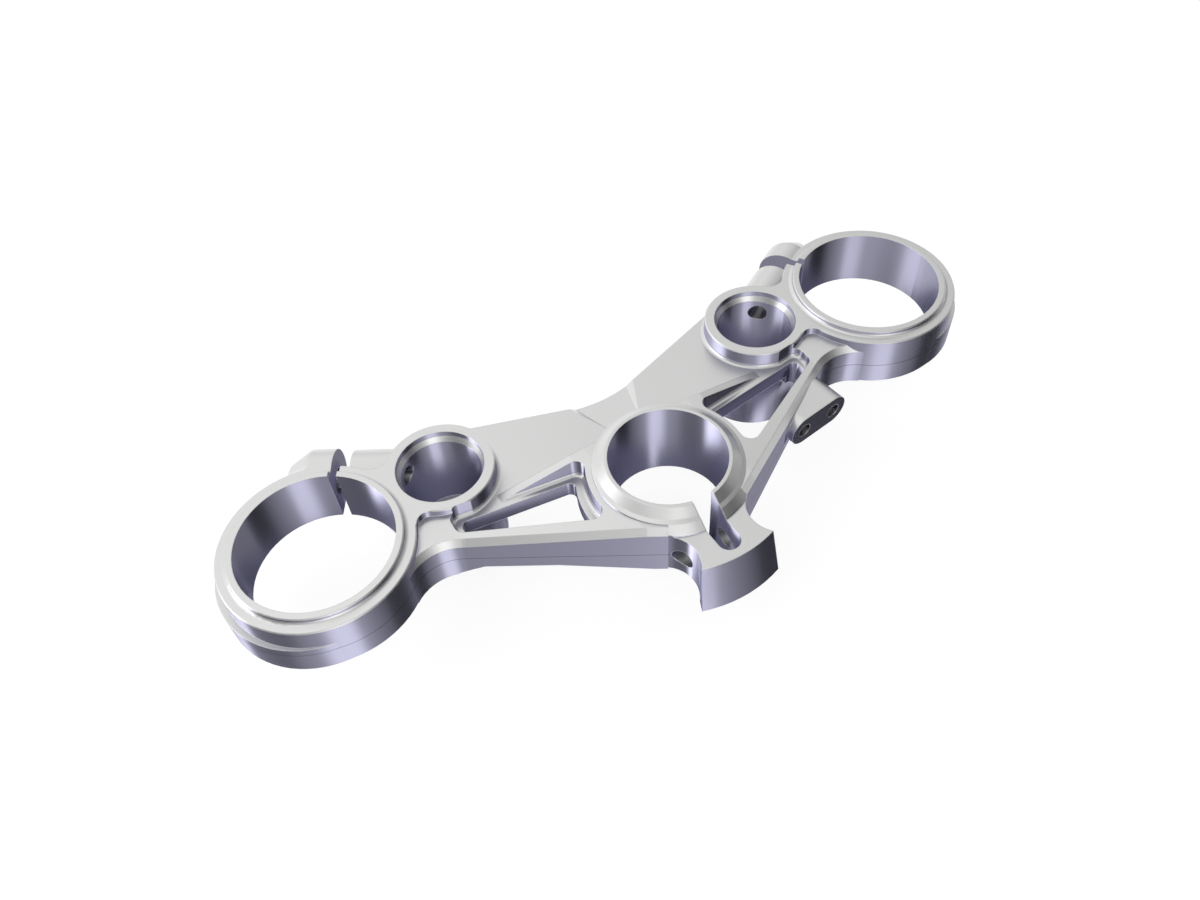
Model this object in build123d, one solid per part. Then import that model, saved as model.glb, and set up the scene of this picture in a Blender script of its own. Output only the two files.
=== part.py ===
"""Upper triple clamp of a motorcycle fork, milled from one block of aluminium.

It grips the steering stem and both fork legs, and two deep sockets take the handlebar mounts.
X points to the right of the bike, Y forward and Z up. The origin lies on the steering axis,
level with the faces of the fork rings. Sizes are in millimetres and angles in degrees.
"""
import os
from math import cos, hypot, radians, sin, sqrt, tan

from build123d import *

# Fork rings
FORK_SPACING = 215.0
FORK_OFFSET = 31.7
FORK_BORE_R = 25.0
FORK_LIP_WALL = 2.4
FORK_LAND_WIDTH = 3.6
FORK_RING_DEPTH = 19.3
FORK_LIP_HEIGHT = 1.9
FORK_LIP_ROOT_R = 1.3
FORK_STEP_DEPTH = 8.0
FORK_STEP_INSET = 0.5
FORK_STEP_SHIFT = 2.9

# Pinch of each fork ring
SLIT_ANGLE = 60.0
SLIT_START = 0.25
SLIT_WIDTH = 2.9
PINCH_BOLT_DISTANCE = 33.0
PINCH_BOLT_DEPTH = 9.2
PINCH_BOLT_R = 3.3
OUTER_EAR_R = 9.65
OUTER_EAR_LENGTH = 8.6
OUTER_EAR_NOSE_R = 4.6
OUTER_EAR_NOSE = 16.0
OUTER_EAR_END = 18.2
OUTER_EAR_ROUND_R = 3.0
INNER_EAR_R = 9.0
INNER_EAR_GAP = 3.0
DECK_DEPTH = 15.8
DECK_FRONT_R = 5.3
DECK_REAR_R = 4.0

# Handlebar sockets
SOCKET_INSET = 45.2
SOCKET_Y = 39.2
SOCKET_R = 18.0
SOCKET_DEPTH = 36.7
SOCKET_BORE_R = 13.3
SOCKET_MOUTH_R = 14.5
SOCKET_MOUTH_DEPTH = 2.1
SOCKET_CONE_DEPTH = 3.8
SOCKET_FLOOR = 3.4
SOCKET_FLOOR_HOLE_R = 6.0

# Steering stem clamp
STEM_BORE_R = 19.25
STEM_HUB_R = 24.6
STEM_HUB_BOTTOM = -14.0
STEM_BOSS_R = 22.5
STEM_BOSS_BOTTOM = -25.3
COLLAR_TOP = 4.7
COLLAR_RIM_R = 20.4
COLLAR_FOOT_R = 23.3
COLLAR_FOOT_Z = 2.3
COLLAR_BASE_Z = 1.6
NECK_R = 27.3
NECK_Z = -0.65

# Arms
ARM_END_X = 14.5
ARM_END_Y = -22.8
ARM_ANGLE = 30.9
ARM_FILLET_R = 15.7
ARM_TOP_STEM = 1.2
ARM_TOP_FORK = -2.6
ARM_TOP_STEM_X = 20.0
ARM_TOP_FORK_X = 68.0
ARM_BEVEL_WIDTH = 1.8
ARM_BEVEL_DROP = 2.2
ARM_BOTTOM_STEM = -19.1
ARM_BOTTOM = -15.8
ARM_BOTTOM_STEM_X = 18.0
ARM_BOTTOM_NEAR_X = 44.0
ARM_BOTTOM_FAR_X = 64.0
ARM_BOTTOM_FORK_X = 72.0

# Bridge between the sockets
WING_Z = -6.1
WING_THICKNESS = 5.9
WING_FRONT_X = 12.7
WING_FRONT_Y = 42.6
WING_RIM = 0.7
WING_FOOT_R = 1.3
RIB_START_X = 25.0
RIB_END_X = 50.6
RIB_MARGIN = 5.4

# Valley in the middle of the bridge
VALLEY_REAR_Y = 26.8
VALLEY_REAR_HALF = 5.77
VALLEY_FRONT_Y = 43.1
VALLEY_FRONT_HALF = 10.16
VALLEY_DEPTH = 2.35
VALLEY_SIDE_ANGLE = 40.0
VALLEY_HOLLOW = 1.3

# Windows and the ledge round them
WINDOW_STEM_R = 30.0
WINDOW_NEAR_X = 36.0
WINDOW_NEAR_Y = -3.3
WINDOW_NEAR_ANGLE = 28.3
WINDOW_FAR_X = 30.0
WINDOW_FAR_Y = 14.9
WINDOW_FAR_ANGLE = 7.2
WINDOW_FORK_X = 65.5
WINDOW_CORNER_R = 2.2
LEDGE_STEM_R = 26.5
LEDGE_WIDTH = 2.7
LEDGE_CORNER_R = 3.4
LEDGE_ROOT_R = 1.4

# Anvil behind the stem, with the stem slot
ANVIL_TILT = 4.0
ANVIL_FRONT_R = 40.5
ANVIL_FRONT_LEAN = 11.0
ANVIL_FRONT_Z = -0.1
ANVIL_HALF_WIDTH = 13.0
ANVIL_NECK_HALF = 10.5
ANVIL_NECK_Y = -29.8
ANVIL_FLARE = 23.0
ANVIL_BOTTOM = -18.3
SLOT_HALF_WIDTH = 3.65
SLOT_END_Y = -37.5
STEM_BOLT_Y = -26.8
STEM_BOLT_Z = -10.6
STEM_BOLT_R = 3.4

# Lug on the right arm
LUG_X = 57.5
LUG_Y = -5.2
LUG_Z = -9.6
LUG_ANGLE = 8.0
LUG_R = 5.7
LUG_HOLE_SPACING = 13.6
LUG_HOLE_R = 2.6
LUG_HOLE_DEPTH = 9.0
LUG_DEPTH = 16.0

EDGE_BREAK = 0.4
CLEAR = 5.0
FAR = 150.0

FORK_X = FORK_SPACING / 2
FORK_BOTTOM = -FORK_RING_DEPTH
FORK_LIP_R = FORK_BORE_R + FORK_LIP_WALL
FORK_RING_R = FORK_LIP_R + FORK_LAND_WIDTH
FORK_STEP_R = FORK_RING_R - FORK_STEP_INSET
SOCKET_X = FORK_X - SOCKET_INSET
WING_BOTTOM = WING_Z - WING_THICKNESS


def prism(outline, bottom, top):
    """Upright prism over a plan outline, between two heights."""
    return extrude(Pos(0, 0, bottom) * outline, top - bottom, dir=(0, 0, 1))


def column(x, y, radius, bottom, top):
    """Upright cylinder between two heights."""
    return Pos(x, y, bottom) * Cylinder(radius, top - bottom, align=(Align.CENTER, Align.CENTER, Align.MIN))


def bar(start, direction, radius, length):
    """Cylinder from a point along a direction."""
    return Plane(origin=start, z_dir=direction) * Cylinder(
        radius, length, align=(Align.CENTER, Align.CENTER, Align.MIN))


def turned(profile, x=0.0, y=0.0):
    """Solid of revolution about an upright axis, from a profile of radius and height."""
    return Pos(x, y, 0) * revolve(make_face(Plane.XZ * profile), Axis.Z)


def line_y(x, start_x, start_y, angle):
    """Height in plan of a straight edge at x."""
    return start_y + (x - start_x) * tan(radians(angle))


def window_near_y(x):
    """Inner edge of the right arm."""
    return line_y(x, WINDOW_NEAR_X, WINDOW_NEAR_Y, WINDOW_NEAR_ANGLE)


def window_far_y(x):
    """Edge of the bridge at the right window."""
    return line_y(x, WINDOW_FAR_X, WINDOW_FAR_Y, WINDOW_FAR_ANGLE)


def fork_ring():
    """Right fork ring with its raised lip and its larger, off-centre lower half."""
    root = FORK_LIP_R + FORK_LIP_ROOT_R
    turn = FORK_LIP_ROOT_R * (1 - cos(radians(45)))
    outside = Polyline((0, FORK_BOTTOM), (FORK_RING_R - EDGE_BREAK, FORK_BOTTOM),
                       (FORK_RING_R, FORK_BOTTOM + EDGE_BREAK), (FORK_RING_R, -EDGE_BREAK),
                       (FORK_RING_R - EDGE_BREAK, 0), (root, 0))
    root_arc = ThreePointArc((root, 0), (FORK_LIP_R + turn, turn), (FORK_LIP_R, FORK_LIP_ROOT_R))
    lip = Polyline((FORK_LIP_R, FORK_LIP_ROOT_R), (FORK_LIP_R, FORK_LIP_HEIGHT - EDGE_BREAK),
                   (FORK_LIP_R - EDGE_BREAK, FORK_LIP_HEIGHT), (0, FORK_LIP_HEIGHT), (0, FORK_BOTTOM))
    ring = turned(outside + root_arc + lip, FORK_X, FORK_OFFSET)
    return ring + column(FORK_X + FORK_STEP_SHIFT, FORK_OFFSET, FORK_STEP_R, FORK_BOTTOM, -FORK_STEP_DEPTH)


def pinch_point(distance, along):
    """Point of the right pinch: out from the fork axis along the slit, then along the bolt."""
    across = sin(radians(SLIT_ANGLE))
    ahead = cos(radians(SLIT_ANGLE))
    return (FORK_X - ahead * distance + across * along, FORK_OFFSET + across * distance + ahead * along,
            -PINCH_BOLT_DEPTH)


def pinch_direction(sign):
    """Direction of the right pinch bolt, outward for 1 and towards the socket for -1."""
    return (sign * sin(radians(SLIT_ANGLE)), sign * cos(radians(SLIT_ANGLE)), 0)


def pinch_reach(along):
    """Length of the pinch bolt's line from a point on it to beside the socket axis."""
    point = pinch_point(PINCH_BOLT_DISTANCE, along)
    return hypot(point[0] - SOCKET_X, point[1] - SOCKET_Y) - SOCKET_BORE_R / 2


def outer_ear():
    """Right outer ear: a round boss on the pinch bolt's line that narrows to a blunt nose."""
    outside = FilletPolyline((OUTER_EAR_R, 0), (OUTER_EAR_R, OUTER_EAR_LENGTH),
                             (OUTER_EAR_NOSE_R, OUTER_EAR_NOSE), (0, OUTER_EAR_END), radius=OUTER_EAR_ROUND_R)
    inside = Polyline((0, OUTER_EAR_END), (0, 0), (OUTER_EAR_R, 0))
    start = pinch_point(PINCH_BOLT_DISTANCE, 0)
    return Plane(origin=start, z_dir=pinch_direction(1)) * turned(outside + inside)


def inner_ear():
    """Right inner ear: a bar that runs into the socket."""
    along = SLIT_START - SLIT_WIDTH - INNER_EAR_GAP
    start = pinch_point(PINCH_BOLT_DISTANCE, along)
    return bar(start, pinch_direction(-1), INNER_EAR_R, pinch_reach(along))


def pinch_cuts():
    """Slit and bolt hole of the right pinch."""
    outer_end = PINCH_BOLT_DISTANCE + OUTER_EAR_R + CLEAR
    inner_end = FORK_BORE_R - CLEAR
    middle = pinch_point((inner_end + outer_end) / 2, SLIT_START - SLIT_WIDTH / 2)
    slit = Pos(middle[0], middle[1], 0) * Rot(0, 0, -SLIT_ANGLE) * Box(outer_end - inner_end, SLIT_WIDTH, FAR)
    nose = OUTER_EAR_END + CLEAR
    hole = bar(pinch_point(PINCH_BOLT_DISTANCE, nose), pinch_direction(-1), PINCH_BOLT_R, pinch_reach(nose))
    return [slit, hole]


def crotch(radius, sign):
    """Centre of a fillet between the right fork ring and the socket, in front for -1 and behind for 1."""
    from_fork = FORK_RING_R + radius
    from_socket = SOCKET_R + radius
    apart = hypot(SOCKET_X - FORK_X, SOCKET_Y - FORK_OFFSET)
    toward = ((SOCKET_X - FORK_X) / apart, (SOCKET_Y - FORK_OFFSET) / apart)
    run = (from_fork ** 2 - from_socket ** 2 + apart ** 2) / (2 * apart)
    rise = sign * sqrt(from_fork ** 2 - run ** 2)
    return (FORK_X + toward[0] * run - toward[1] * rise, FORK_OFFSET + toward[1] * run + toward[0] * rise)


def deck():
    """Flat web at ring height between the right fork ring and the socket, with a fillet on each side."""
    front = crotch(DECK_FRONT_R, -1)
    rear = crotch(DECK_REAR_R, 1)
    web = make_face(Polyline((FORK_X, FORK_OFFSET), front, (SOCKET_X, SOCKET_Y), rear, close=True))
    web -= Pos(*front) * Circle(DECK_FRONT_R)
    web -= Pos(*rear) * Circle(DECK_REAR_R)
    return prism(web, -DECK_DEPTH, 0)


def socket_post():
    """Right handlebar socket: a tube that hangs below the plate."""
    profile = Polyline((0, -SOCKET_DEPTH), (SOCKET_R - EDGE_BREAK, -SOCKET_DEPTH),
                       (SOCKET_R, EDGE_BREAK - SOCKET_DEPTH), (SOCKET_R, -EDGE_BREAK),
                       (SOCKET_R - EDGE_BREAK, 0), (0, 0), close=True)
    return turned(profile, SOCKET_X, SOCKET_Y)


def socket_bore():
    """Stepped bore of the right socket, with a hole through its floor."""
    floor = SOCKET_FLOOR - SOCKET_DEPTH
    profile = Polyline((0, -SOCKET_DEPTH - CLEAR), (SOCKET_FLOOR_HOLE_R, -SOCKET_DEPTH - CLEAR),
                       (SOCKET_FLOOR_HOLE_R, floor), (SOCKET_BORE_R, floor),
                       (SOCKET_BORE_R, -SOCKET_CONE_DEPTH), (SOCKET_MOUTH_R, -SOCKET_MOUTH_DEPTH),
                       (SOCKET_MOUTH_R, CLEAR), (0, CLEAR), close=True)
    return turned(profile, SOCKET_X, SOCKET_Y)


def arm_corners():
    """End of the right arm's straight wall, its fillet's centre, and where that meets the fork ring."""
    along = (cos(radians(ARM_ANGLE)), sin(radians(ARM_ANGLE)))
    outward = (along[1], -along[0])
    start = (ARM_END_X + outward[0] * ARM_FILLET_R - FORK_X,
             ARM_END_Y + outward[1] * ARM_FILLET_R - FORK_OFFSET)
    reach = FORK_RING_R + ARM_FILLET_R
    half = start[0] * along[0] + start[1] * along[1]
    run = -half - sqrt(half * half - start[0] ** 2 - start[1] ** 2 + reach * reach)
    wall_end = (ARM_END_X + along[0] * run, ARM_END_Y + along[1] * run)
    centre = (wall_end[0] + outward[0] * ARM_FILLET_R, wall_end[1] + outward[1] * ARM_FILLET_R)
    share = FORK_RING_R / reach
    ring_end = (FORK_X + (centre[0] - FORK_X) * share, FORK_OFFSET + (centre[1] - FORK_OFFSET) * share)
    return wall_end, centre, ring_end


def arm_plan():
    """Plan of the right arm and the plate up to the fork ring, with the fillet where they meet."""
    wall_end, centre, ring_end = arm_corners()
    chord = ((wall_end[0] + ring_end[0]) / 2 - centre[0], (wall_end[1] + ring_end[1]) / 2 - centre[1])
    share = ARM_FILLET_R / hypot(*chord)
    middle = (centre[0] + chord[0] * share, centre[1] + chord[1] * share)
    wall = Polyline((0, 0), (ARM_END_X, ARM_END_Y), wall_end)
    inside = Polyline(ring_end, (FORK_X, FORK_OFFSET), (SOCKET_X, SOCKET_Y),
                      (SOCKET_X, window_far_y(SOCKET_X)), (WINDOW_STEM_R, 0), (0, 0))
    return make_face(wall + ThreePointArc(wall_end, middle, ring_end) + inside)


def bevel_section(x, top):
    """Section of the cutter for the arm's bevel, square to the straight wall at x."""
    along = (cos(radians(ARM_ANGLE)), sin(radians(ARM_ANGLE)), 0)
    origin = (x, line_y(x, ARM_END_X, ARM_END_Y, ARM_ANGLE), top)
    slope = ARM_BEVEL_DROP / ARM_BEVEL_WIDTH
    cut = Polyline((-ARM_BEVEL_WIDTH, 0), (-ARM_BEVEL_WIDTH, CLEAR), (CLEAR, CLEAR),
                   (CLEAR, -ARM_BEVEL_DROP - slope * CLEAR), close=True)
    square = Plane(origin=origin, x_dir=(along[1], -along[0], 0), z_dir=(-along[0], -along[1], 0))
    return square * make_face(cut)


def arm_bevel():
    """Cutter for the bevel along the right arm's wall and round its fillet."""
    wall_end, centre, ring_end = arm_corners()
    sections = [bevel_section(ARM_END_X - CLEAR, ARM_TOP_STEM), bevel_section(ARM_TOP_STEM_X, ARM_TOP_STEM),
                bevel_section(ARM_TOP_FORK_X, ARM_TOP_FORK), bevel_section(wall_end[0], ARM_TOP_FORK)]
    straight = loft(sections[:2], ruled=True) + loft(sections[1:3], ruled=True)
    straight += loft(sections[2:], ruled=True)
    slope = ARM_BEVEL_DROP / ARM_BEVEL_WIDTH
    inner = ARM_FILLET_R - CLEAR
    cone = Polyline((inner, ARM_TOP_FORK - ARM_BEVEL_DROP - slope * CLEAR),
                    (ARM_FILLET_R + ARM_BEVEL_WIDTH, ARM_TOP_FORK),
                    (ARM_FILLET_R + ARM_BEVEL_WIDTH, ARM_TOP_FORK + CLEAR),
                    (inner, ARM_TOP_FORK + CLEAR), close=True)
    return straight + turned(cone, *centre)


def arm_side():
    """Side view of the right arm, drawn out to a solid: a sloping top and a stepped underside."""
    side = make_face(Plane.XZ * Polyline(
        (0, ARM_TOP_STEM), (ARM_TOP_STEM_X, ARM_TOP_STEM), (ARM_TOP_FORK_X, ARM_TOP_FORK),
        (FORK_X, ARM_TOP_FORK), (FORK_X, FORK_BOTTOM), (ARM_BOTTOM_FORK_X, FORK_BOTTOM),
        (ARM_BOTTOM_FAR_X, ARM_BOTTOM), (ARM_BOTTOM_NEAR_X, ARM_BOTTOM),
        (ARM_BOTTOM_STEM_X, ARM_BOTTOM_STEM), (0, ARM_BOTTOM_STEM), close=True))
    return extrude(side, FAR, both=True)


def arm_top(x):
    """Height of the right arm's sloping top at x."""
    slope = (ARM_TOP_FORK - ARM_TOP_STEM) / (ARM_TOP_FORK_X - ARM_TOP_STEM_X)
    return ARM_TOP_STEM + (x - ARM_TOP_STEM_X) * slope


def arm():
    """Right arm: sloping top, bevelled outer edge and an underside that is deeper at both ends."""
    return (prism(arm_plan(), -FAR, FAR) & arm_side()) - arm_bevel()


def wing_tangent():
    """Point where the wing's straight front edge runs into its rim round the right socket."""
    toward = (SOCKET_X - WING_FRONT_X, SOCKET_Y - WING_FRONT_Y)
    apart = hypot(*toward)
    rim = SOCKET_R + WING_RIM
    run = sqrt(apart ** 2 - rim ** 2)
    share = run / apart ** 2
    return (WING_FRONT_X + share * (toward[0] * run - toward[1] * rim),
            WING_FRONT_Y + share * (toward[1] * run + toward[0] * rim))


def wing_plan():
    """Plan of the right wing, from the middle of the clamp to the socket."""
    outline = make_face(Polyline(
        (0, 0), (0, VALLEY_FRONT_Y), (VALLEY_FRONT_HALF, VALLEY_FRONT_Y), (WING_FRONT_X, WING_FRONT_Y),
        wing_tangent(), (SOCKET_X, SOCKET_Y), (SOCKET_X, window_far_y(SOCKET_X)), close=True))
    return outline + Pos(SOCKET_X, SOCKET_Y) * Circle(SOCKET_R + WING_RIM)


def wing():
    """Right wing: a level plate between the stem and the socket."""
    return prism(wing_plan(), WING_BOTTOM, WING_Z)


def socket_foot():
    """Cove round the foot of the right socket, where it rises from the wing."""
    foot = SOCKET_R + WING_FOOT_R
    turn = WING_FOOT_R * (1 - cos(radians(45)))
    below = Polyline((0, WING_Z + WING_FOOT_R), (0, WING_BOTTOM), (foot, WING_BOTTOM), (foot, WING_Z))
    cove = ThreePointArc((foot, WING_Z), (SOCKET_R + turn, WING_Z + turn), (SOCKET_R, WING_Z + WING_FOOT_R))
    top = Line((SOCKET_R, WING_Z + WING_FOOT_R), (0, WING_Z + WING_FOOT_R))
    return turned(below + cove + top, SOCKET_X, SOCKET_Y) & prism(wing_plan(), WING_BOTTOM, FAR)


def rib():
    """Rib along the far side of the right window, falling from the arm's top to the wing."""
    side = make_face(Plane.XZ * Polyline(
        (RIB_START_X, arm_top(RIB_START_X)), (RIB_END_X, WING_Z), (RIB_END_X, WING_BOTTOM),
        (RIB_START_X, WING_BOTTOM), close=True))
    plan = make_face(Polyline(
        (RIB_START_X, window_far_y(RIB_START_X)), (RIB_END_X, window_far_y(RIB_END_X)),
        (RIB_END_X, window_far_y(RIB_END_X) + RIB_MARGIN),
        (RIB_START_X, window_far_y(RIB_START_X) + RIB_MARGIN), close=True))
    return prism(plan, -FAR, FAR) & extrude(side, FAR, both=True)


def shoulder():
    """Web in front of the stem on the right, level with the arm's top."""
    edge = window_far_y(RIB_START_X)
    plan = make_face(Polyline(
        (0, 0), (0, edge + RIB_MARGIN), (RIB_START_X, edge + RIB_MARGIN), (RIB_START_X, edge),
        (WINDOW_STEM_R, edge), (WINDOW_STEM_R, 0), close=True))
    return prism(plan, WING_BOTTOM, FAR) & arm_side()


def valley_section(y):
    """Upright section of the cutter for the valley at y, with sloping sides."""
    share = (y - VALLEY_REAR_Y) / (VALLEY_FRONT_Y - VALLEY_REAR_Y)
    half_width = VALLEY_REAR_HALF + share * (VALLEY_FRONT_HALF - VALLEY_REAR_HALF)
    floor = WING_Z - share * VALLEY_DEPTH
    wide = half_width + CLEAR / tan(radians(VALLEY_SIDE_ANGLE))
    return make_face(Polyline((-half_width, y, floor), (half_width, y, floor), (wide, y, floor + CLEAR),
                              (-wide, y, floor + CLEAR), close=True))


def valley():
    """Cutter for the shallow valley that falls forward across the middle of the bridge."""
    sections = [valley_section(VALLEY_REAR_Y - CLEAR), valley_section(VALLEY_FRONT_Y + CLEAR)]
    return loft(sections, ruled=True)


def front_hollow():
    """Hollow arc in the bridge's front edge, between the ends of the valley."""
    radius = (VALLEY_FRONT_HALF ** 2 + VALLEY_HOLLOW ** 2) / (2 * VALLEY_HOLLOW)
    round_cut = column(0, VALLEY_FRONT_Y - VALLEY_HOLLOW + radius, radius, -FAR, FAR)
    return round_cut & (Pos(0, FAR / 2, 0) * Box(2 * VALLEY_FRONT_HALF, FAR, FAR))


def window_plan(stem_r, margin, corner_r):
    """Plan of the right window, widened by a margin on the far and fork sides, with rounded corners."""
    fork = WINDOW_FORK_X + margin
    outline = make_face(Polyline(
        (0, window_near_y(0)), (fork, window_near_y(fork)),
        (fork, window_far_y(fork) + margin), (0, window_far_y(0) + margin), close=True))
    outline = (outline - Circle(stem_r)).faces().sort_by(Axis.X)[-1]
    return fillet(outline.vertices(), corner_r)


def window():
    """Right window, cut through."""
    return prism(window_plan(WINDOW_STEM_R, 0, WINDOW_CORNER_R), -FAR, FAR)


def ledge():
    """Pocket, rounded at its root, that leaves a ledge round the right window, level with the wing."""
    pocket = prism(window_plan(LEDGE_STEM_R, LEDGE_WIDTH, LEDGE_CORNER_R), WING_Z, FAR)
    return fillet(pocket.faces().sort_by(Axis.Z)[0].edges(), LEDGE_ROOT_R)


def stem_boss():
    """Round boss of the stem clamp, with the coned collar on top."""
    cone = STEM_HUB_R - STEM_BOSS_R
    profile = Polyline((0, STEM_BOSS_BOTTOM), (STEM_BOSS_R - EDGE_BREAK, STEM_BOSS_BOTTOM),
                       (STEM_BOSS_R, STEM_BOSS_BOTTOM + EDGE_BREAK), (STEM_BOSS_R, STEM_HUB_BOTTOM - cone),
                       (STEM_HUB_R, STEM_HUB_BOTTOM), (STEM_HUB_R, COLLAR_BASE_Z),
                       (COLLAR_FOOT_R, COLLAR_FOOT_Z), (COLLAR_RIM_R, COLLAR_TOP),
                       (0, COLLAR_TOP), close=True)
    return turned(profile)


def anvil_plan():
    """Plan of the anvil: hollow sides from the arms to its front corners, then out past the front."""
    corner_y = -sqrt(ANVIL_FRONT_R ** 2 - ANVIL_HALF_WIDTH ** 2)
    end_y = -ANVIL_FRONT_R - CLEAR
    end_x = ANVIL_HALF_WIDTH + (corner_y - end_y) * tan(radians(ANVIL_FLARE))
    right = ThreePointArc((ARM_END_X, ARM_END_Y), (ANVIL_NECK_HALF, ANVIL_NECK_Y),
                          (ANVIL_HALF_WIDTH, corner_y))
    left = ThreePointArc((-ANVIL_HALF_WIDTH, corner_y), (-ANVIL_NECK_HALF, ANVIL_NECK_Y),
                         (-ARM_END_X, ARM_END_Y))
    front = Polyline((ANVIL_HALF_WIDTH, corner_y), (end_x, end_y),
                     (-end_x, end_y), (-ANVIL_HALF_WIDTH, corner_y))
    rear = Polyline((-ARM_END_X, ARM_END_Y), (0, 0), (ARM_END_X, ARM_END_Y))
    return make_face(right + front + left + rear)


def neck():
    """Cone that falls from the foot of the collar to the anvil."""
    profile = Polyline((0, ANVIL_BOTTOM), (NECK_R, ANVIL_BOTTOM), (NECK_R, NECK_Z),
                       (STEM_HUB_R, COLLAR_BASE_Z), (0, COLLAR_BASE_Z), close=True)
    return turned(profile) & prism(anvil_plan(), ANVIL_BOTTOM, CLEAR)


def anvil():
    """Block behind the stem, with a front that follows the stem and leans out."""
    lean = tan(radians(ANVIL_FRONT_LEAN))
    top = ANVIL_FRONT_Z + CLEAR
    cone = Cone(ANVIL_FRONT_R + lean * (ANVIL_FRONT_Z - ANVIL_BOTTOM), ANVIL_FRONT_R - lean * CLEAR,
                top - ANVIL_BOTTOM, align=(Align.CENTER, Align.CENTER, Align.MIN))
    block = prism(anvil_plan(), ANVIL_BOTTOM, top) & (Pos(0, 0, ANVIL_BOTTOM) * cone)
    top_face = Plane(origin=(0, -ANVIL_FRONT_R, ANVIL_FRONT_Z), x_dir=(1, 0, 0),
                     z_dir=(0, sin(radians(ANVIL_TILT)), cos(radians(ANVIL_TILT))))
    return split(block, bisect_by=top_face, keep=Keep.BOTTOM)


def stem_cuts():
    """Stem bore, pinch slot, and the pinch bolt's hole across it."""
    bore = column(0, 0, STEM_BORE_R, -FAR, FAR)
    half = SLOT_HALF_WIDTH
    sides = Polyline((-half, SLOT_END_Y + half), (-half, 0), (half, 0), (half, SLOT_END_Y + half))
    end = ThreePointArc((half, SLOT_END_Y + half), (0, SLOT_END_Y), (-half, SLOT_END_Y + half))
    slot = prism(make_face(sides + end), -FAR, FAR)
    end_x = ARM_END_X + CLEAR
    hole = bar((-end_x, STEM_BOLT_Y, STEM_BOLT_Z), (1, 0, 0), STEM_BOLT_R, 2 * end_x)
    return [bore, slot, hole]


def lug_face():
    """Outer face of the lug, looking out of the clamp."""
    return Plane(origin=(LUG_X, LUG_Y, LUG_Z), z_dir=(sin(radians(LUG_ANGLE)), -cos(radians(LUG_ANGLE)), 0))


def lug():
    """Lug on the right arm: a round-ended block."""
    return extrude(lug_face() * SlotCenterToCenter(LUG_HOLE_SPACING, LUG_R * 2), -LUG_DEPTH)


def lug_holes():
    """Two blind holes in the lug."""
    holes = Locations((-LUG_HOLE_SPACING / 2, 0), (LUG_HOLE_SPACING / 2, 0))
    circles = [location * Circle(LUG_HOLE_R) for location in holes]
    return [extrude(lug_face() * circle, -LUG_HOLE_DEPTH) for circle in circles]


def fork_bore():
    """Bore of the right fork ring."""
    return column(FORK_X, FORK_OFFSET, FORK_BORE_R, -FAR, FAR)


def half(extra, extra_cuts):
    """Right half of the plate with its fork ring and socket, and what one side alone has."""
    body = arm() + wing() + shoulder() + rib() + fork_ring() + deck() + outer_ear() + inner_ear()
    body += socket_post() + socket_foot()
    for solid in extra:
        body += solid
    for cut in [ledge(), window(), fork_bore(), socket_bore()] + pinch_cuts() + extra_cuts:
        body -= cut
    return body


def triple_clamp():
    """The whole clamp: both halves of the plate, and the stem clamp between them."""
    plate = half([lug()], lug_holes()) + mirror(half([], []), about=Plane.YZ)
    plate -= valley()
    plate -= front_hollow()
    clamp = stem_boss() + neck() + anvil()
    for cut in stem_cuts():
        plate -= cut
        clamp -= cut
    return plate + clamp


def main():
    os.makedirs("parts", exist_ok=True)
    export_step(triple_clamp(), "parts/triple_clamp.step")


if __name__ == "__main__":
    main()
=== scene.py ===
"""Looks of a motorcycle triple clamp: one piece of machined aluminium on a white studio floor."""
import logging
import math
from dataclasses import dataclass, field
from enum import Enum
from typing import Any

import bmesh
import bpy
from mathutils import Matrix, Vector


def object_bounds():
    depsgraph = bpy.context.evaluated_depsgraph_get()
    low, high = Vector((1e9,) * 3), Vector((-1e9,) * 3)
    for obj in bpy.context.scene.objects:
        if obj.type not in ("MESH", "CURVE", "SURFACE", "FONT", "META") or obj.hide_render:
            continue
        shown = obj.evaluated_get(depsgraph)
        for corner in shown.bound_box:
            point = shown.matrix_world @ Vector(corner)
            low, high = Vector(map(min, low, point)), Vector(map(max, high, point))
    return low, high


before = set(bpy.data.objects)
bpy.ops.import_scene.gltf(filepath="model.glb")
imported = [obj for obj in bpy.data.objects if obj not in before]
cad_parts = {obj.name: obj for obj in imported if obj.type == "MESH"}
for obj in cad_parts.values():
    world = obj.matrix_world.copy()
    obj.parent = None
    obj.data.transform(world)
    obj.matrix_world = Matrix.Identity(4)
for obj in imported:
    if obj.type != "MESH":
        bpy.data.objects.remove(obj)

LOG = logging.getLogger("triple_clamp")
CAD_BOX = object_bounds()
MM = 0.001
Colour = tuple[float, float, float]
Point = tuple[float, float, float]
Pair = tuple[float, float]


class Operation(Enum):
    """Kinds of Math node that the shader expressions use."""

    ADD = "ADD"
    SUBTRACT = "SUBTRACT"
    MULTIPLY = "MULTIPLY"
    DIVIDE = "DIVIDE"
    ABSOLUTE = "ABSOLUTE"
    MAXIMUM = "MAXIMUM"
    MINIMUM = "MINIMUM"
    LESS_THAN = "LESS_THAN"
    GREATER_THAN = "GREATER_THAN"
    ARCTAN2 = "ARCTAN2"
    SQRT = "SQRT"


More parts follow.
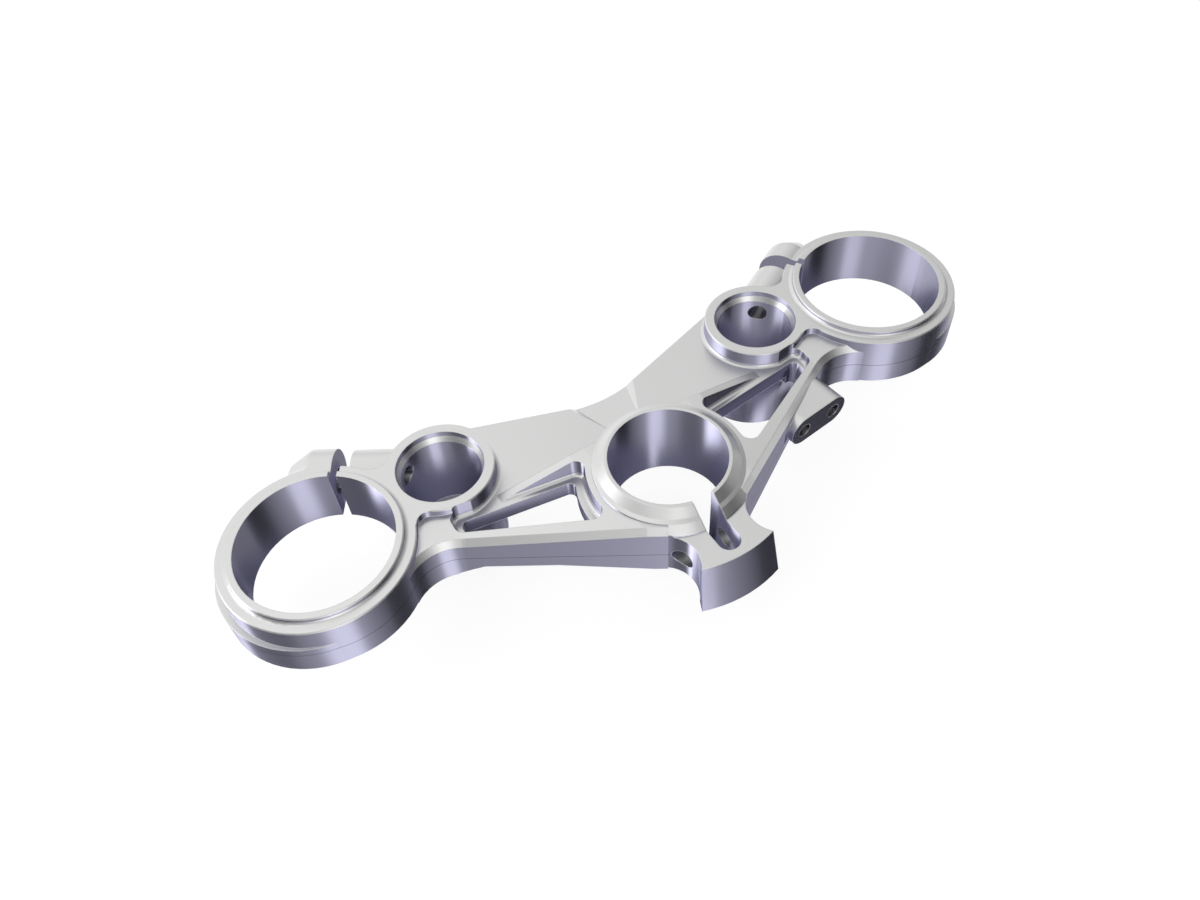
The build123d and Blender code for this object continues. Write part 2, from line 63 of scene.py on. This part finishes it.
class Term:
    """A value socket in a node tree, written with Python's operators."""

    def __init__(self, sheet: "NodeSheet", socket: bpy.types.NodeSocket) -> None:
        """Keep the socket and the tree that it is in."""
        self.sheet = sheet
        self.socket = socket

    def join(self, operation: Operation, first: Any, second: Any) -> "Term":
        """Add a Math node.

        Args:
            operation: What the node works out.
            first: Term or number on its first input.
            second: Term or number on its second input.

        Returns:
            The result as a term.
        """
        return self.sheet.add("ShaderNodeMath", {"operation": operation.value}, {0: first, 1: second})

    def __add__(self, other: Any) -> "Term":
        """Sum."""
        return self.join(Operation.ADD, self, other)

    def __radd__(self, other: Any) -> "Term":
        """Sum with a number on the left."""
        return self.join(Operation.ADD, other, self)

    def __sub__(self, other: Any) -> "Term":
        """Difference."""
        return self.join(Operation.SUBTRACT, self, other)

    def __rsub__(self, other: Any) -> "Term":
        """Difference from a number on the left."""
        return self.join(Operation.SUBTRACT, other, self)

    def __mul__(self, other: Any) -> "Term":
        """Product."""
        return self.join(Operation.MULTIPLY, self, other)

    def __rmul__(self, other: Any) -> "Term":
        """Product with a number on the left."""
        return self.join(Operation.MULTIPLY, other, self)

    def __truediv__(self, other: Any) -> "Term":
        """Quotient."""
        return self.join(Operation.DIVIDE, self, other)

    def __rtruediv__(self, other: Any) -> "Term":
        """Quotient of a number on the left."""
        return self.join(Operation.DIVIDE, other, self)

    def __abs__(self) -> "Term":
        """Size without sign."""
        return self.join(Operation.ABSOLUTE, self, 0.0)

    def at_least(self, limit: Any) -> "Term":
        """The term, or a limit where the term is under it."""
        return self.join(Operation.MAXIMUM, self, limit)

    def at_most(self, limit: Any) -> "Term":
        """The term, or a limit where the term is over it."""
        return self.join(Operation.MINIMUM, self, limit)

    def length_with(self, other: "Term") -> "Term":
        """Length of a vector in plan that has these two parts."""
        return self.join(Operation.SQRT, self * self + other * other, 0.0)

    def turn_from(self, along: "Term") -> "Term":
        """Angle in radians of a direction in plan, with this term as its part across."""
        return self.join(Operation.ARCTAN2, self, along)

    def below(self, limit: Any) -> "Term":
        """One where the term is under a limit, else nought."""
        return self.join(Operation.LESS_THAN, self, limit)

    def above(self, limit: Any) -> "Term":
        """One where the term is over a limit, else nought."""
        return self.join(Operation.GREATER_THAN, self, limit)

    def smooth(self, low: float, high: float) -> "Term":
        """Smooth step.

        Args:
            low: Value at which the step starts from nought.
            high: Value at which it reaches one.

        Returns:
            The step as a term.
        """
        settings = {"interpolation_type": "SMOOTHSTEP"}
        return self.sheet.add("ShaderNodeMapRange", settings, {0: self, 1: low, 2: high, 3: 0.0, 4: 1.0})


class NodeSheet:
    """A node tree with one way to add nodes."""

    def __init__(self, tree: bpy.types.NodeTree) -> None:
        """Empty the tree and keep it."""
        tree.nodes.clear()
        self.tree = tree

    def node(self, kind: str, settings: dict[str, Any], inputs: dict[Any, Any]) -> bpy.types.Node:
        """Add a node.

        Args:
            kind: Blender's name of the node's type.
            settings: Its settings, with a ramp's stops under "stops".
            inputs: Values, terms or sockets by the name or number of the node's input.

        Returns:
            The new node.
        """
        made = self.tree.nodes.new(kind)
        for name, value in settings.items():
            if name == "stops":
                self._fill_ramp(made.color_ramp, value)
            else:
                setattr(made, name, value)
        for name, value in inputs.items():
            if isinstance(value, Term):
                value = value.socket
            if isinstance(value, bpy.types.NodeSocket):
                self.tree.links.new(value, made.inputs[name])
            else:
                made.inputs[name].default_value = value
        return made

    def add(self, kind: str, settings: dict[str, Any], inputs: dict[Any, Any], output: Any = 0) -> Term:
        """Add a node and return one of its outputs as a term.

        Args:
            kind: Blender's name of the node's type.
            settings: Its settings.
            inputs: Values, terms or sockets of its inputs.
            output: Name or number of the output.

        Returns:
            The output as a term.
        """
        return Term(self, self.node(kind, settings, inputs).outputs[output])

    def mix(self, factor: Any, first: Any, second: Any) -> Term:
        """Mix two colours.

        Args:
            factor: Share of the second colour.
            first: Colour or term.
            second: Colour or term.

        Returns:
            The mixed colour.
        """
        inputs = {0: factor, 6: opaque(first), 7: opaque(second)}
        return self.add("ShaderNodeMix", {"data_type": "RGBA"}, inputs, 2)

    def axes(self, vector: Any) -> list[Term]:
        """Split a vector into its three parts."""
        split = self.node("ShaderNodeSeparateXYZ", {}, {0: vector})
        return [Term(self, socket) for socket in split.outputs]

    def _fill_ramp(self, ramp: bpy.types.ColorRamp, stops: list[tuple[float, Colour]]) -> None:
        """Set the stops of a colour ramp."""
        while len(ramp.elements) < len(stops):
            ramp.elements.new(1.0)
        for element, (position, colour) in zip(ramp.elements, stops):
            element.position = position
            element.color = opaque(colour)


def opaque(colour: Any) -> Any:
    """A colour with its alpha, or a term unchanged."""
    return (*colour, 1.0) if isinstance(colour, tuple) else colour


@dataclass(frozen=True)
class PartingLine:
    """Dark hairline round the outer walls of the arms and fork rings, where two cuts of the mill meet.

    Lengths are in millimetres, and the places are those of the right side, which the left side mirrors.
    """

    height: float = -11.0
    half_width: float = 0.2
    core_share: float = 0.4
    darkening: float = 0.5
    arm_start: Pair = (14.5, -22.8)
    arm_angle: float = 30.9
    arm_band: Pair = (-6.0, 0.8)
    fork_axis: Pair = (107.5, 31.7)
    fork_band: Pair = (27.0, 46.0)

    def mask(self, place: list[Term], level: Term) -> Term:
        """Where the hairline is.

        Args:
            place: The three object coordinates.
            level: One on level faces, nought on upright walls.

        Returns:
            The strength of the line, from nought to one.
        """
        side, ahead, up = abs(place[0]) / MM, place[1] / MM, place[2] / MM
        turn = math.radians(self.arm_angle)
        outside = (side - self.arm_start[0]) * math.sin(turn) - (ahead - self.arm_start[1]) * math.cos(turn)
        from_fork = (side - self.fork_axis[0]).length_with(ahead - self.fork_axis[1])
        near = abs(outside).below(self.arm_band[1]).at_least(from_fork.below(self.fork_band[1]))
        outer = from_fork.above(self.fork_band[0]) * outside.above(self.arm_band[0])
        line = 1 - abs(up - self.height).smooth(self.core_share * self.half_width, self.half_width)
        return line * near * outer * (1 - level)


@dataclass(frozen=True)
class MachinedAluminium:
    """Bare aluminium: pale satin faces, and walls in a darker violet-grey that is painted shade, with fine
    steps from the cutter, which lean up.

    Lengths are in millimetres. The upright part of its normal says how level a face is, over level_range,
    and so where the painted wall shade goes.
    """

    face: Colour = (0.80, 0.80, 0.795)
    # Painted shade: the darker violet-grey of upright walls stands in for the dim reflections they get.
    painted_shade_wall: Colour = (0.395, 0.39, 0.51)
    face_roughness: float = 0.32
    wall_roughness: float = 0.24
    wall_lean: float = 0.82
    level_range: Pair = (0.20, 0.60)
    stretch: float = 0.7
    stretch_turn: float = 0.25
    edge_radius: float = 0.35
    edge_samples: int = 6
    grain_scale: float = 900.0
    grain_detail: float = 3.0
    grain_depth: float = 0.01
    grain_height: float = 0.4
    grain_roughness: float = 0.03
    seam: PartingLine = PartingLine()

    def material(self) -> bpy.types.Material:
        """Build the material.

        Returns:
            The finished material.
        """
        made = bpy.data.materials.new("machined_aluminium")
        made.use_nodes = True
        sheet = NodeSheet(made.node_tree)
        edge = sheet.add(
            "ShaderNodeBevel", {"samples": self.edge_samples}, {"Radius": self.edge_radius * MM})
        level = abs(sheet.axes(edge)[2]).smooth(*self.level_range)
        lift = sheet.add("ShaderNodeCombineXYZ", {}, {2: (1 - level) * self.wall_lean})
        leaning = sheet.add("ShaderNodeVectorMath", {"operation": "ADD"}, {0: edge, 1: lift})
        leaning = sheet.add("ShaderNodeVectorMath", {"operation": "NORMALIZE"}, {0: leaning})
        place = sheet.add("ShaderNodeTexCoord", {}, {}, "Object")
        grain = sheet.add("ShaderNodeTexNoise", {}, {
            "Vector": place, "Scale": self.grain_scale, "Detail": self.grain_detail})
        bump = sheet.add("ShaderNodeBump", {}, {
            "Strength": self.grain_depth, "Distance": self.grain_height * MM,
            "Height": grain, "Normal": leaning})
        seam = self.seam.mask(sheet.axes(place), level) * self.seam.darkening
        # Painted shade: upright walls take the darker wall colour and level faces the pale one, blended
        # across the bevelled edges; the hairline darkens this further.
        colour = sheet.mix(seam, sheet.mix(level, self.painted_shade_wall, self.face), (0.0, 0.0, 0.0))
        roughness = self.wall_roughness + level * (self.face_roughness - self.wall_roughness)
        roughness = roughness + (grain - 0.5) * self.grain_roughness
        shader = sheet.node("ShaderNodeBsdfPrincipled", {}, {
            "Base Color": colour, "Metallic": 1.0, "Roughness": roughness, "Anisotropic": self.stretch,
            "Anisotropic Rotation": self.stretch_turn, "Normal": bump})
        sheet.node("ShaderNodeOutputMaterial", {}, {"Surface": shader.outputs[0]})
        return made


@dataclass
class Clamp:
    """The clamp itself, which is the CAD node in its finish."""

    node: str = "triple_clamp"
    finish: MachinedAluminium = field(default_factory=MachinedAluminium)

    def dress(self) -> bpy.types.Object:
        """Give the CAD node its finish.

        Returns:
            The dressed object.
        """
        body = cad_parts[self.node]
        body.data.materials.clear()
        body.data.materials.append(self.finish.material())
        return body


@dataclass
class Studio:
    """White floor, and the soft surround of a light tent that the metal mirrors.

    The floor's radius is in metres. The surround's walls have a brightness for each direction in plan, in
    degrees from X towards Y, and heights in the surround are sines of the elevation.
    """

    floor_radius: float = 6.0
    floor_segments: int = 64
    floor_colour: Colour = (0.30, 0.30, 0.30)
    floor_glow: float = 0.82
    dome_level: float = 1.02
    dome_slope: Pair = (-0.66, 0.42)
    dome_range: Pair = (0.2, 1.2)
    wall_top: Pair = (0.3, 0.55)
    camera_side_rise: float = 0.2
    camera_side_edge: Pair = (-0.2, 0.2)
    wall_peak: float = 4.0
    wall_levels: tuple[Pair, ...] = (
        (-180, 0.20), (-150, 0.22), (-136, 0.55), (-122, 0.75), (-109, 2.1), (-94, 2.1), (-86, 0.85),
        (-72, 0.50), (-60, 0.28), (-52, 0.05), (-38, 0.02), (-30, 0.10), (-24, 0.42), (10, 0.40),
        (30, 0.60), (60, 0.95), (100, 1.10), (136, 1.30), (153, 3.0), (167, 4.0), (173, 2.4),
        (177, 0.30), (180, 0.20))

    def floor(self) -> bpy.types.Object:
        """Build the floor.

        Returns:
            The floor, which is not part of the object.
        """
        mesh = bpy.data.meshes.new("floor")
        work = bmesh.new()
        bmesh.ops.create_circle(work, cap_ends=True, segments=self.floor_segments, radius=self.floor_radius,
                                matrix=Matrix.Translation((0, 0, CAD_BOX[0][2])))
        work.to_mesh(mesh)
        work.free()
        made = bpy.data.objects.new("floor", mesh)
        bpy.context.scene.collection.objects.link(made)
        mesh.materials.append(self.floor_material())
        return made

    def floor_material(self) -> bpy.types.Material:
        """Build the floor's white, which keeps the object's shadow.

        Returns:
            The finished material.
        """
        made = bpy.data.materials.new("white_floor")
        made.use_nodes = True
        sheet = NodeSheet(made.node_tree)
        path = sheet.node("ShaderNodeLightPath", {}, {})
        camera, glossy, through = (
            Term(sheet, path.outputs["Is %s Ray" % kind]) for kind in ("Camera", "Glossy", "Transmission"))
        matt = sheet.node("ShaderNodeBsdfDiffuse", {}, {"Color": opaque(self.floor_colour)})
        strength = (camera + glossy + through) * self.floor_glow
        glow = sheet.node("ShaderNodeEmission", {}, {"Strength": strength})
        both = sheet.node("ShaderNodeAddShader", {}, {0: matt.outputs[0], 1: glow.outputs[0]})
        sheet.node("ShaderNodeOutputMaterial", {}, {"Surface": both.outputs[0]})
        return made

    def surround(self) -> None:
        """Build the world: a dome, paler to the left and the far side, over walls of uneven height."""
        world = bpy.data.worlds.new("studio")
        world.use_nodes = True
        bpy.context.scene.world = world
        sheet = NodeSheet(world.node_tree)
        across, ahead, up = sheet.axes(sheet.add("ShaderNodeTexCoord", {}, {}, "Generated"))
        dome = self.dome_level + across * self.dome_slope[0] + ahead * self.dome_slope[1]
        dome = dome.at_least(self.dome_range[0]).at_most(self.dome_range[1])
        turn = ahead.turn_from(across) / (2 * math.pi) + 0.5
        stops = [(angle / 360 + 0.5, (level / self.wall_peak,) * 3) for angle, level in self.wall_levels]
        walls = sheet.add("ShaderNodeValToRGB", {"stops": stops}, {0: turn}) * self.wall_peak
        rise = (1 - ahead.smooth(*self.camera_side_edge)) * self.camera_side_rise
        high = (up - rise).smooth(*self.wall_top)
        glow = sheet.node("ShaderNodeBackground", {}, {"Strength": walls + (dome - walls) * high})
        sheet.node("ShaderNodeOutputWorld", {}, {"Surface": glow.outputs[0]})

    def build(self) -> list[bpy.types.Object]:
        """Build the whole studio.

        Returns:
            The floor.
        """
        self.surround()
        return [self.floor()]


@dataclass
class PhotoCamera:
    """Camera that stands where the photograph was taken from, in millimetres and radians."""

    place: Point = (-107.955, -166.732, 251.143)
    yaw: float = 0.467562
    pitch: float = 0.884681
    roll: float = -0.0799359
    lens: float = 30.053
    sensor: float = 36.0
    near: float = 10.0

    def build(self) -> bpy.types.Object:
        """Build the camera and make it the scene's.

        Returns:
            The camera.
        """
        reach, drop = math.cos(self.pitch), math.sin(self.pitch)
        ahead = Vector((math.sin(self.yaw) * reach, math.cos(self.yaw) * reach, -drop))
        level = Vector((math.cos(self.yaw), -math.sin(self.yaw), 0.0))
        rise = level.cross(ahead)
        right = math.cos(self.roll) * level + math.sin(self.roll) * rise
        top = math.cos(self.roll) * rise - math.sin(self.roll) * level
        turn = Matrix((right, top, -ahead)).transposed().to_4x4()
        data = bpy.data.cameras.new("photo_camera")
        data.sensor_width = self.sensor
        data.lens = self.lens
        data.clip_start = self.near * MM
        made = bpy.data.objects.new("photo_camera", data)
        made.matrix_world = Matrix.Translation(Vector(self.place) * MM) @ turn
        bpy.context.scene.collection.objects.link(made)
        bpy.context.scene.camera = made
        return made


def main() -> None:
    """Build the scene, piece by piece."""
    logging.basicConfig(level=logging.INFO)
    bpy.context.scene.view_settings.view_transform = "Standard"
    LOG.info("clamp dressed: %s", Clamp().dress().name)
    for made in Studio().build():
        LOG.info("studio piece: %s", made.name)
    LOG.info("camera placed: %s", PhotoCamera().build().name)


if __name__ == "__main__":
    main()
